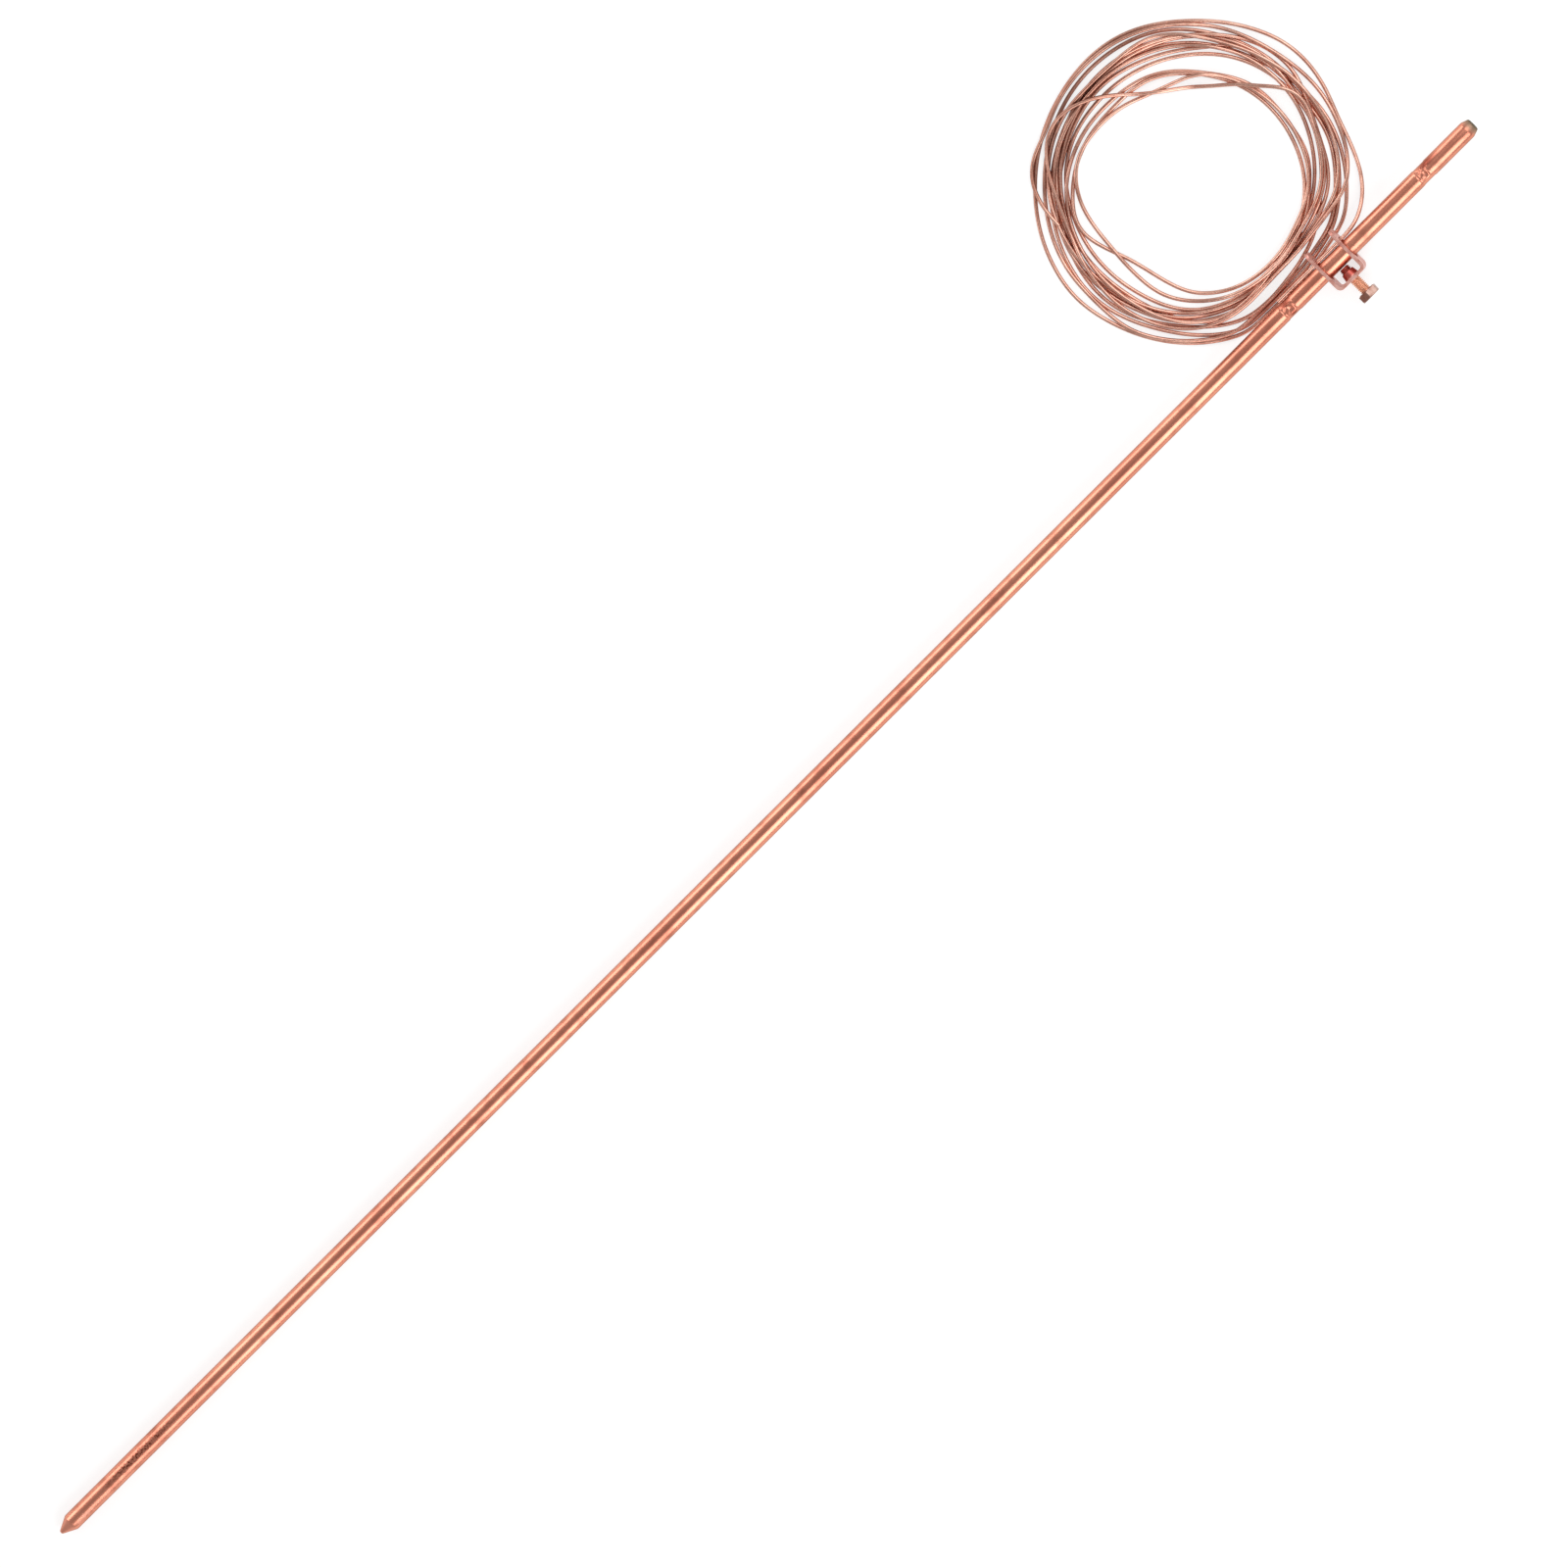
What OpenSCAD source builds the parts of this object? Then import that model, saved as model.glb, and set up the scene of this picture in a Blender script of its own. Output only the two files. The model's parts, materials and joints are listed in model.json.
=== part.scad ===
// Earth rod with a captive clamp and a coiled earth lead, lying as it comes to rest.
// The rod runs along X with its point at the -X end. The coil lies on the +Y side,
// the clamp's bolt points to -Y, and the floor is at z = 0.
// Lengths along the rod are measured from its point, sideways ones from its axis.

/* [Rod] */
// Diameter of the rod
rod_d = 9.525; // [9.4:0.025:9.6]
// Length from the point to the top end
rod_l = 1016; // [1000:1:1250]
// Length of the driving point
point_l = 7.8; // [6:0.1:10]
// Diameter of the blunted nose of the point
nose_d = 2; // [1:0.1:3]
// Length of the chamfer at the top end
chamfer_l = 3.9; // [1:0.1:4]
// Depth of the chamfer at the top end, taken on the radius
chamfer_depth = 1.5; // [0.5:0.1:2]

/* [Stop marks] */
// Distance from the point to the lower stop mark
low_stop_x = 886; // [880:0.5:888]
// Distance from the point to the upper stop mark
high_stop_x = 981.5; // [970:0.5:985]
// Length of a stop mark along the rod
stop_l = 7; // [6:0.1:8]
// Width of a stop mark across the rod
stop_w = 5.8; // [4:0.1:6.5]
// Height of the raised lips of a stop mark
lip_h = 0.9; // [0.8:0.05:1.2]
// Depth of the struck notch between the lips
notch_depth = 0.8; // [0.3:0.05:1.2]

/* [Clamp bracket] */
// Distance from the point to the middle of the clamp
clamp_x = 919.4; // [912:0.1:950]
// Outside width of the clamp along the rod
clamp_w = 18.4; // [17:0.1:21]
// Thickness of the strip
strip_t = 1.8; // [1.5:0.1:2.2]
// Width of the strip, which stands square to the floor
strip_w = 16; // [14:0.5:20]
// Distance from the rod's axis to the outer face of the base
base_out = 12.9; // [12.6:0.1:15]
// Distance from the rod's axis to the free ends of the legs
leg_out = 13; // [11.5:0.1:15]
// Outside radius of the two bends
bend_r = 3.2; // [2.6:0.1:4]
// Corner radius of the free ends of the legs
leg_corner_r = 4.5; // [2:0.1:6]
// Width of the oval hole in each leg
hole_w = 10.6; // [10.2:0.1:10.8]

/* [Clamp bolt] */
// Thread diameter of the bolt, with running clearance in the collar
bolt_d = 5.9; // [5.88:0.01:5.96]
// Distance across the flats of the head
head_af = 10; // [9:0.5:11]
// Height of the head
head_h = 3.9; // [3:0.1:4.5]
// Distance from the rod's axis to the underside of the head
head_under = 21.3; // [20:0.1:26]
// Inside diameter of the tapped collar
collar_bore_d = 6; // [6:0.01:6.02]
// Height of the collar that is drawn out of the base
collar_h = 3.4; // [2.5:0.1:4]

/* [Earth lead] */
// Diameter of the stranded lead
wire_d = 2; // [1.6:0.1:2]
// Distance from the point to the middle of the coil
coil_x = 896; // [890:0.5:905]
// Distance from the rod's axis to the middle of the coil
coil_y = 77; // [76:0.5:80]
// Outside radius of the coil
coil_outer_r = 84.5; // [83:0.5:87]
// Inside radius of the coil
coil_inner_r = 55; // [50:1:62]
// Height of the coil on the floor
coil_h = 8; // [6:0.5:9]

/* [Hidden] */
$fn = 96;
rod_r = rod_d / 2;
// Gap between pieces that move on each other without being a fit
gap = 0.3;
// Overshoot of a cut past the face that it opens
over = 1;
// The clamp's legs lie on one layer of the lead
clamp_rest = wire_d + 0.05;
// The rod leans from its point on the floor up to the clamp
rod_tilt = asin((clamp_rest + strip_w / 2 - rod_r) / (clamp_x - point_l));
// Height of the rod's axis at its point, with the shoulder of the point on the floor
axis_rise = rod_r * cos(rod_tilt) - point_l * sin(rod_tilt);
// The origin is under the middle of the rod, clamp and bolt
side_shift = (head_under + head_h - leg_out) / 2;

// Notch and lips of a stop mark, sized from the mark's length
lip_l = 1.5;
lip_root = 0.3;
notch_half = stop_l / 2 - lip_l - 0.2;
notch_r = (notch_half * notch_half + notch_depth * notch_depth) / (2 * notch_depth);
// The dies that strike a mark also neck the rod a little all round it
neck_half = stop_l / 2 + 0.5;
neck_depth = 0.2;

// Oval hole: room for the rod on the bolt's side, and for the lead on the other
hole_r = hole_w / 2;
hole_low_y = -0.9;
hole_high_y = 2.4;

// Collar, tapered as it is drawn, with a lead-in on the outer face
base_in = base_out - strip_t;
collar_root_r = 4.1;
collar_top_r = 3.5;
lead_in_r = 3.7;
lead_in_h = 0.7;

// Bolt: the tip stops short of the rod, and a washer face stands under the head
tip_out = rod_r + gap;
tip_chamfer = 0.8;
washer_face_d = 9;
washer_face_h = 0.3;
head_corner_d = head_af / cos(30);
head_chamfer_h = 0.8;

// Lead in the clamp: [along, sideways, up] from the rod's axis, from its cut end to the coil
wire_sides = 8;
tail_route = [
  [883, 5.9, 0.9],
  [888, 5.9, 0.9],
  [894, 5.9, 0.9],
  [900, 5.9, 0.9],
  [906, 5.9, 0.9],
  [912, 5.9, 0.9],
  [918, 5.9, 0.9],
  [924, 5.9, 0.9],
  [930, 5.9, 0.8],
  [936, 6.2, 0],
  [941, 7.4, -1.4],
  [946, 9.9, -3.3],
  [950, 12.8, -4.9],
  [954, 16.6, -6.2],
  [957, 20.2, -7]
];

// Coil: a low heap with sloping shoulders, beside the rod
coil_gap = 0.6;
coil_shoulder = 6;
coil_edge_h = 3;

function unit(v) = v / norm(v);

// Direction of a route at point i, by the neighbours on either side
function route_dir(route, i) =
  unit(route[min(i + 1, len(route) - 1)] - route[max(i - 1, 0)]);

// Ring of points round point i of a route, square to its direction
function route_ring(route, i, r, sides) =
  let (
    ahead = route_dir(route, i),
    side = unit(cross(ahead, [0, 0, 1])),
    up = cross(side, ahead)
  )
  [for (k = [0 : sides - 1])
    route[i] + r * (cos(360 * k / sides) * side + sin(360 * k / sides) * up)];

// Two triangles for each side of the tube between ring i and the next
function tube_walls(rings, sides) = [
  for (i = [0 : rings - 2], k = [0 : sides - 1])
    let (
      a = i * sides + k,
      b = i * sides + (k + 1) % sides
    )
    each [[a, a + sides, b], [b, a + sides, b + sides]]
];

// Round tube along a route, closed at both ends
module tube_along(route, d, sides) {
  rings = len(route);
  points = [for (i = [0 : rings - 1]) each route_ring(route, i, d / 2, sides)];
  first_cap = [for (k = [0 : sides - 1]) k];
  last_cap = [for (k = [sides - 1 : -1 : 0]) (rings - 1) * sides + k];
  polyhedron(points, concat([first_cap], tube_walls(rings, sides), [last_cap]));
}

// Takes a piece drawn on the rod's own axis to where the rod lies
module on_rod() {
  translate([-rod_l / 2, side_shift, axis_rise])
    rotate([0, -rod_tilt, 0])
      children();
}

// Turns a profile of [radius, length] round the rod's axis, length along +X, seam to the side
module turned_along_rod(profile) {
  rotate([0, 90, 0])
    rotate([0, 0, 90])
      rotate_extrude()
        polygon(profile);
}

// Turns a profile of [radius, distance] round the bolt's axis, distance along -Y
module turned_along_bolt(profile) {
  translate([clamp_x, 0, 0])
    rotate([90, 0, 0])
      rotate_extrude()
        polygon(profile);
}

// Four profile points of the shallow neck round the stop mark at x
function neck_at(x) = [
  [rod_r, x - neck_half],
  [rod_r - neck_depth, x - neck_half],
  [rod_r - neck_depth, x + neck_half],
  [rod_r, x + neck_half]
];

// Rod with its point, its shank, its two necks and the chamfer at the top end
module rod_blank() {
  turned_along_rod(concat(
    [[0, 0], [nose_d / 2, 0], [rod_r, point_l]],
    neck_at(low_stop_x),
    neck_at(high_stop_x),
    [[rod_r, rod_l - chamfer_l], [rod_r - chamfer_depth, rod_l], [0, rod_l]]
  ));
}

// One raised lip all round, which stop_lips keeps on the crown and underside only
module lip_ring(x) {
  translate([x, 0, 0])
    turned_along_rod([
      [0, 0],
      [rod_r - lip_root, 0],
      [rod_r + lip_h, lip_l / 3],
      [rod_r + lip_h, lip_l * 2 / 3],
      [rod_r - lip_root, lip_l],
      [0, lip_l]
    ]);
}

// The lips of one stop mark
module stop_lips(x) {
  intersection() {
    union() {
      lip_ring(x - stop_l / 2);
      lip_ring(x + stop_l / 2 - lip_l);
    }
    translate([x - stop_l, -stop_w / 2, -rod_d])
      cube([2 * stop_l, stop_w, 2 * rod_d]);
  }
}

// The notches struck between the lips, on the crown and underside
module stop_notches(x) {
  for (face = [-1, 1])
    translate([x, 0, face * (rod_r - notch_depth + notch_r)])
      rotate([90, 0, 0])
        cylinder(r = notch_r, h = stop_w + 2 * over, center = true);
}

// Rod: copper-coated steel, with two staked stop marks that keep the clamp on it
module rod() {
  color("#c07a5e")
    on_rod()
      difference() {
        union() {
          rod_blank();
          stop_lips(low_stop_x);
          stop_lips(high_stop_x);
        }
        stop_notches(low_stop_x);
        stop_notches(high_stop_x);
      }
}

// Plan of a U with round corners: half its width, base face, leg ends and corner radius
module u_plan(half_w, base_y, end_y, r) {
  translate([-half_w, r - base_y])
    square([2 * half_w, base_y - r + end_y]);
  translate([r - half_w, -base_y])
    square([2 * (half_w - r), base_y]);
  for (side = [-1, 1])
    translate([side * (half_w - r), r - base_y])
      circle(r = r);
}

// The folded strip before it is pierced
module folded_strip() {
  translate([clamp_x, 0, -strip_w / 2])
    linear_extrude(strip_w)
      difference() {
        u_plan(clamp_w / 2, base_out, leg_out, bend_r);
        u_plan(clamp_w / 2 - strip_t, base_in, leg_out + over, bend_r - strip_t);
      }
}

// Side outline of the strip, with round corners at the free ends of the legs
module leg_outline() {
  corner_y = leg_out - leg_corner_r;
  corner_z = strip_w / 2 - leg_corner_r;
  translate([clamp_x, 0, 0])
    rotate([90, 0, 90])
      linear_extrude(clamp_w + 2 * over, center = true) {
        translate([-base_out - over, -strip_w / 2])
          square([base_out + over + corner_y, strip_w]);
        translate([0, -corner_z])
          square([leg_out, 2 * corner_z]);
        for (side = [-1, 1])
          translate([corner_y, side * corner_z])
            circle(r = leg_corner_r);
      }
}

// Oval hole through both legs
module leg_holes() {
  translate([clamp_x, 0, 0])
    rotate([90, 0, 90])
      linear_extrude(clamp_w + 2 * over, center = true) {
        for (y = [hole_low_y, hole_high_y])
          translate([y, 0])
            circle(r = hole_r);
        translate([hole_low_y, -hole_r])
          square([hole_high_y - hole_low_y, hole_w]);
      }
}

// Collar drawn inwards from the base
module collar_wall() {
  turned_along_bolt([
    [0, base_in + strip_t / 2],
    [collar_root_r, base_in + strip_t / 2],
    [collar_root_r, base_in],
    [collar_top_r, base_in - collar_h],
    [0, base_in - collar_h]
  ]);
}

// Bore of the collar with its lead-in on the outer face
module collar_bore() {
  turned_along_bolt([
    [0, base_in - collar_h - over],
    [collar_bore_d / 2, base_in - collar_h - over],
    [collar_bore_d / 2, base_out - lead_in_h],
    [lead_in_r, base_out],
    [lead_in_r, base_out + over],
    [0, base_out + over]
  ]);
}

// Clamp bracket: one folded strip that the rod and the lead's end pass through
module clamp_bracket() {
  color("#c39389")
    on_rod()
      difference() {
        union() {
          intersection() {
            folded_strip();
            leg_outline();
          }
          collar_wall();
        }
        leg_holes();
        collar_bore();
      }
}

// Hex head with a corner up, its outer face chamfered to a circle
module bolt_head() {
  intersection() {
    translate([clamp_x, -head_under, 0])
      rotate([90, 0, 0])
        rotate([0, 0, 90])
          cylinder(d = head_corner_d, h = head_h, $fn = 6);
    turned_along_bolt([
      [0, head_under],
      [head_corner_d / 2, head_under],
      [head_corner_d / 2, head_under + head_h - head_chamfer_h],
      [head_af / 2, head_under + head_h],
      [0, head_under + head_h]
    ]);
  }
}

// Clamp bolt: hex head, washer face and shank, with its tip just clear of the rod
module clamp_bolt() {
  color("#d08a63")
    on_rod() {
      bolt_head();
      turned_along_bolt([
        [0, tip_out],
        [bolt_d / 2 - tip_chamfer, tip_out],
        [bolt_d / 2, tip_out + tip_chamfer],
        [bolt_d / 2, head_under - washer_face_h],
        [washer_face_d / 2, head_under - washer_face_h],
        [washer_face_d / 2, head_under],
        [0, head_under]
      ]);
    }
}

// Lead, from its cut end through the clamp to the coil
module lead_tail() {
  color("#b87455")
    on_rod()
      tube_along(tail_route, wire_d, wire_sides);
}

// The heap of turns before it is cut back from the rod and the clamp
module coil_heap() {
  translate([coil_x - rod_l / 2, coil_y + side_shift, 0])
    rotate_extrude()
      polygon([
        [coil_inner_r, 0],
        [coil_outer_r, 0],
        [coil_outer_r, coil_edge_h],
        [coil_outer_r - coil_shoulder, coil_h],
        [coil_inner_r + coil_shoulder, coil_h],
        [coil_inner_r, coil_edge_h]
      ]);
}

// Lead, wound in a flat coil that is pressed against the rod and runs under the clamp's legs
module lead_coil() {
  rod_side_y = side_shift + rod_r + coil_gap;
  leg_end_y = side_shift + leg_out + gap;
  leg_bottom = clamp_rest - gap;
  color("#b87455")
    difference() {
      coil_heap();
      translate([-rod_l, rod_side_y - rod_l, -over])
        cube([2 * rod_l, rod_l, coil_h + 2 * over]);
      translate([clamp_x - rod_l / 2 - clamp_w / 2 - gap, leg_end_y - coil_outer_r, leg_bottom])
        cube([clamp_w + 2 * gap, coil_outer_r, coil_h]);
    }
}

rod();
clamp_bracket();
clamp_bolt();
lead_tail();
lead_coil();
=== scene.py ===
"""Earth rod with its captive clamp and coiled lead, dressed and set in a plain studio.

Sizes are millimetres. Pieces on the rod are worked out in the rod's own frame, which is
[along from the point, sideways from the axis, up from the axis], and the coil in the row
frame. Both go into their meshes in metres, in the row frame.
"""

from __future__ import annotations

import json
import logging
import math
from dataclasses import dataclass
from enum import Enum

import bmesh
import bpy
import numpy as np
from mathutils import Matrix, Vector

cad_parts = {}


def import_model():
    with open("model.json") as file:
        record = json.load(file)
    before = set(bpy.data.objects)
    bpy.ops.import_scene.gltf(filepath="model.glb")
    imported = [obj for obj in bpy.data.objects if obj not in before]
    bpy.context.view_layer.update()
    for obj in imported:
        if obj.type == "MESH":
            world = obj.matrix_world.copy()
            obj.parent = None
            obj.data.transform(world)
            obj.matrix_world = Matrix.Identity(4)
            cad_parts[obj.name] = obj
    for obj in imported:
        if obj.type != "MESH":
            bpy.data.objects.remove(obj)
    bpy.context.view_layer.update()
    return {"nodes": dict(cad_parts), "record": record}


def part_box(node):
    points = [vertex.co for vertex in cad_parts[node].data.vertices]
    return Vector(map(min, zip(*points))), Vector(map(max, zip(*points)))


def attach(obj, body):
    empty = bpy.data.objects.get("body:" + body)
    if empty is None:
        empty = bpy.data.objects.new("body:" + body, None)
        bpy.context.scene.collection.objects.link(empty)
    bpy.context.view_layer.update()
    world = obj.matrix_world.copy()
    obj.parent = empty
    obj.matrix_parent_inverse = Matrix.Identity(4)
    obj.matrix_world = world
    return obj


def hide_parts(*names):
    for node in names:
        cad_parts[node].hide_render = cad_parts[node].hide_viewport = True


# Short names of types. A patch is its middle along and sideways, then its half-sizes.
Tree = bpy.types.NodeTree
Socket = bpy.types.NodeSocket
Patch = tuple[float, float, float, float]
Pairs = tuple[tuple[float, float], ...]

LOG = logging.getLogger("earth_rod")
MM = 0.001

# Distance from the rod's point to the axis of the clamp's bolt.
CLAMP_STATION = 919.4
# Noise levels at which a patch starts and is full, for spots and for patches of tone.
SPOT_LEVELS = (0.44, 0.58)
TONE_LEVELS = (0.35, 0.65)


class Slot(Enum):
    """Material slots of the record."""

    ROD = "rod_copper"
    CLAMP = "clamp_copper"
    BOLT = "bolt_copper"
    LEAD = "lead_copper"


class Body(Enum):
    """Moving bodies of the record."""

    ROD = "rod"
    CLAMP = "clamp"
    BOLT = "bolt"


def linear(colour: str) -> tuple[float, float, float, float]:
    """Turns an sRGB hex colour into linear red, green, blue and alpha.

    Args:
        colour: hex colour such as "#d98f76".

    Returns:
        Linear channels from 0 to 1, with alpha 1.
    """
    written = np.array([int(colour[i:i + 2], 16) for i in (1, 3, 5)]) / 255
    light = np.where(written <= 0.04045, written / 12.92, ((written + 0.055) / 1.055) ** 2.4)
    return (*light.tolist(), 1.0)


def add_node(
    tree: Tree,
    kind: str,
    settings: dict[str | int, object] | None = None,
    links: dict[str | int, Socket] | None = None,
) -> bpy.types.Node:
    """Adds a node with its settings and links.

    Args:
        tree: node tree that gets the node.
        kind: name of the node's type.
        settings: values by the node's own property, or by socket name or number.
        links: outputs of other nodes by the socket that takes them.

    Returns:
        The new node.
    """
    node = tree.nodes.new(kind)
    for key, value in (settings or {}).items():
        if isinstance(key, str) and hasattr(node, key):
            setattr(node, key, value)
        else:
            node.inputs[key].default_value = value
    for key, output in (links or {}).items():
        tree.links.new(output, node.inputs[key])
    return node


def blank_tree(owner: bpy.types.Material | bpy.types.World) -> Tree:
    """Gives a material or a world an empty node tree.

    Args:
        owner: the material or world.

    Returns:
        Its node tree.
    """
    owner.use_nodes = True
    owner.node_tree.nodes.clear()
    return owner.node_tree


def patch_share(
    tree: Tree,
    place: Socket,
    size: float,
    levels: tuple[float, float],
    most: float = 1.0,
    detail: float = 3.0,
) -> Socket:
    """Share of a metal that comes in patches of noise.

    Args:
        tree: node tree of the material.
        place: object coordinates.
        size: size of the patches.
        levels: noise levels at which a patch starts and is full.
        most: share in a full patch.
        detail: how finely the patches are broken up.

    Returns:
        Output with the share from 0 to most.
    """
    noise = add_node(
        tree,
        "ShaderNodeTexNoise",
        {"Scale": 1 / (size * MM), "Detail": detail},
        {"Vector": place},
    )
    share = add_node(
        tree,
        "ShaderNodeMapRange",
        {"From Min": levels[0], "From Max": levels[1], "To Max": most},
        {"Value": noise.outputs["Fac"]},
    )
    return share.outputs["Result"]


@dataclass(frozen=True)
class WearAndPaintedLight:
    """Metal that differs from the rest of the piece where its mesh carries a mark, as worn or
    stained metal or as painted light or shade.

    Attributes:
        mark: name of the mark, which goes from 0 to 1 at the mesh's points.
        colour: colour of the metal there.
        roughness: roughness of the metal there.
        spots: size of the spots that it comes in, 0 where it is even.
    """

    mark: str
    colour: str
    roughness: float
    spots: float = 0.0

    def share(self, tree: Tree, place: Socket) -> Socket:
        """Share of this metal: the mesh's mark, broken up by noise if it comes in spots.

        Args:
            tree: node tree of the material.
            place: object coordinates.

        Returns:
            Output with the share from 0 to 1.
        """
        mark = add_node(tree, "ShaderNodeAttribute", {"attribute_name": self.mark}).outputs["Fac"]
        if not self.spots:
            return mark
        spots = patch_share(tree, place, self.spots, SPOT_LEVELS)
        share = add_node(tree, "ShaderNodeMath", {"operation": "MULTIPLY"}, {0: mark, 1: spots})
        return share.outputs[0]


@dataclass(frozen=True)
class CopperFinish:
    """Copper or copper plate: bare metal, in two tones, with brown tarnish in patches.

    Attributes:
        name: name of the material.
        bright: colour of the clean metal.
        dull: colour of the metal where it has gone dull.
        tarnish: colour of the brown oxide.
        patch: size of the patches of tone.
        stain: size of the patches of tarnish.
        stain_levels: noise levels at which tarnish starts and is at its strongest.
        stain_most: largest share of tarnish.
        smooth: roughness of the clean metal.
        rough: roughness of the tarnished metal.
        grain_depth: height of the surface marks, or of what takes their place.
        grain: size of the surface marks along x, y and z.
        edge: tint of the metal at a glancing angle.
        wear_and_painted_light: metal that differs in places, worn or stained, or painted light or
            shade.
    """

    name: str
    bright: str
    dull: str
    tarnish: str
    patch: float
    stain: float
    stain_levels: tuple[float, float]
    stain_most: float
    smooth: float
    rough: float
    grain_depth: float
    grain: tuple[float, float, float] = (0.4, 0.4, 0.4)
    edge: str = "#ffffff"
    wear_and_painted_light: tuple[WearAndPaintedLight, ...] = ()

    def relief(self, tree: Tree, place: Socket) -> Socket:
        """Height of the fine surface marks, which are noise stretched out by the grain.

        Args:
            tree: node tree of the material.
            place: object coordinates.

        Returns:
            Output with the height from 0 to 1.
        """
        marks_place = add_node(
            tree,
            "ShaderNodeMapping",
            {"Scale": tuple(1 / (size * MM) for size in self.grain)},
            {"Vector": place},
        )
        marks = add_node(
            tree,
            "ShaderNodeTexNoise",
            {"Scale": 1.0, "Detail": 3.0},
            {"Vector": marks_place.outputs["Vector"]},
        )
        return marks.outputs["Fac"]

    def build(self) -> bpy.types.Material:
        """Makes the material.

        Returns:
            The material, with colour, roughness and a fine bump.
        """
        material = bpy.data.materials.new(self.name)
        tree = blank_tree(material)
        place = add_node(tree, "ShaderNodeTexCoord").outputs["Object"]
        colour = add_node(
            tree,
            "ShaderNodeMix",
            {"data_type": "RGBA", 6: linear(self.bright), 7: linear(self.dull)},
            {0: patch_share(tree, place, self.patch, TONE_LEVELS)},
        )
        roughness = None
        stain = patch_share(
            tree, place, self.stain, self.stain_levels, self.stain_most, detail=6.0
        )
        layers = [(stain, self.tarnish, self.rough)]
        layers += [(marked_layer.share(tree, place), marked_layer.colour, marked_layer.roughness) for marked_layer in self.wear_and_painted_light]
        for share, tint, dullness in layers:
            colour = add_node(
                tree,
                "ShaderNodeMix",
                {"data_type": "RGBA", 7: linear(tint)},
                {0: share, 6: colour.outputs[2]},
            )
            below = {2: roughness.outputs[0]} if roughness else {}
            roughness = add_node(
                tree, "ShaderNodeMix", {2: self.smooth, 3: dullness}, {0: share, **below}
            )
        height = self.relief(tree, place)
        bump = add_node(
            tree, "ShaderNodeBump", {"Distance": self.grain_depth * MM}, {"Height": height}
        )
        shader = add_node(
            tree,
            "ShaderNodeBsdfPrincipled",
            {"Metallic": 1.0, "Specular Tint": linear(self.edge)},
            {
                "Base Color": colour.outputs[2],
                "Roughness": roughness.outputs[0],
                "Normal": bump.outputs["Normal"],
            },
        )
        add_node(tree, "ShaderNodeOutputMaterial", links={"Surface": shader.outputs["BSDF"]})
        return material


@dataclass(frozen=True)
class StrandedFinish(CopperFinish):
    """Copper of a stranded lead, on a mesh that carries the map "lay".

    Attributes:
        strands: strands in the outer layer.
    """

    strands: int = 24

    def relief(self, tree: Tree, place: Socket) -> Socket:
        """Height of the strands, each a half wave, which go round with the map's two parts.

        Args:
            tree: node tree of the material.
            place: object coordinates; not used.

        Returns:
            Output with the height from 0 to 1.
        """
        lay = add_node(tree, "ShaderNodeUVMap", {"uv_map": "lay"})
        parts = add_node(tree, "ShaderNodeSeparateXYZ", links={0: lay.outputs["UV"]})
        height = add_node(
            tree, "ShaderNodeMath", {"operation": "ADD"}, {0: parts.outputs[0], 1: parts.outputs[1]}
        )
        for step in (
            {"operation": "MULTIPLY", 1: math.pi * self.strands},
            {"operation": "SINE"},
            {"operation": "ABSOLUTE"},
        ):
            height = add_node(tree, "ShaderNodeMath", step, {0: height.outputs[0]})
        return height.outputs[0]


# Copper-coated steel, pulled through a die: bright, with fine marks along the bar. It is dull
# where the point and the stops were formed, tan where the coat is ground off, steel when cut.
# Even brown patches by the stop marks are painted shade, where the highlight drops out.
DRAWN_COPPER_COAT = CopperFinish(
    name="drawn_copper_coat",
    bright="#ec9c82",
    dull="#e18e76",
    tarnish="#7e3a2a",
    patch=30.0,
    stain=9.0,
    stain_levels=(0.52, 0.8),
    stain_most=0.55,
    smooth=0.27,
    rough=0.42,
    grain=(14.0, 0.5, 0.5),
    grain_depth=0.02,
    edge="#b0c8c8",
    wear_and_painted_light=(
        WearAndPaintedLight("rubbed", "#e3a08a", 0.45, 3.0),
        WearAndPaintedLight("dulled", "#e59a83", 0.42),
        WearAndPaintedLight("handled", "#7d3b2b", 0.38, 1.1),
        # Painted shade: even brown patches by the stop marks, where the highlight drops out.
        WearAndPaintedLight("painted_shade_patch", "#9c5242", 0.35),
        WearAndPaintedLight("ground", "#e8bfa4", 0.6),
        WearAndPaintedLight("sheared", "#7d6a58", 0.55),
    ),
)

# Copper plate on folded strip: satin and pink. Its collar carries a painted red reflection and
# shade, of copper facing copper inside the bracket.
SATIN_COPPER_PLATE = CopperFinish(
    name="satin_copper_plate",
    bright="#eabaae",
    dull="#dba093",
    tarnish="#a85c4d",
    patch=6.0,
    stain=3.0,
    stain_levels=(0.46, 0.75),
    stain_most=0.6,
    smooth=0.44,
    rough=0.55,
    grain_depth=0.02,
    # Painted red reflection and shade in the collar.
    wear_and_painted_light=(WearAndPaintedLight("drawn", "#c5645a", 0.4),),
)

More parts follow.
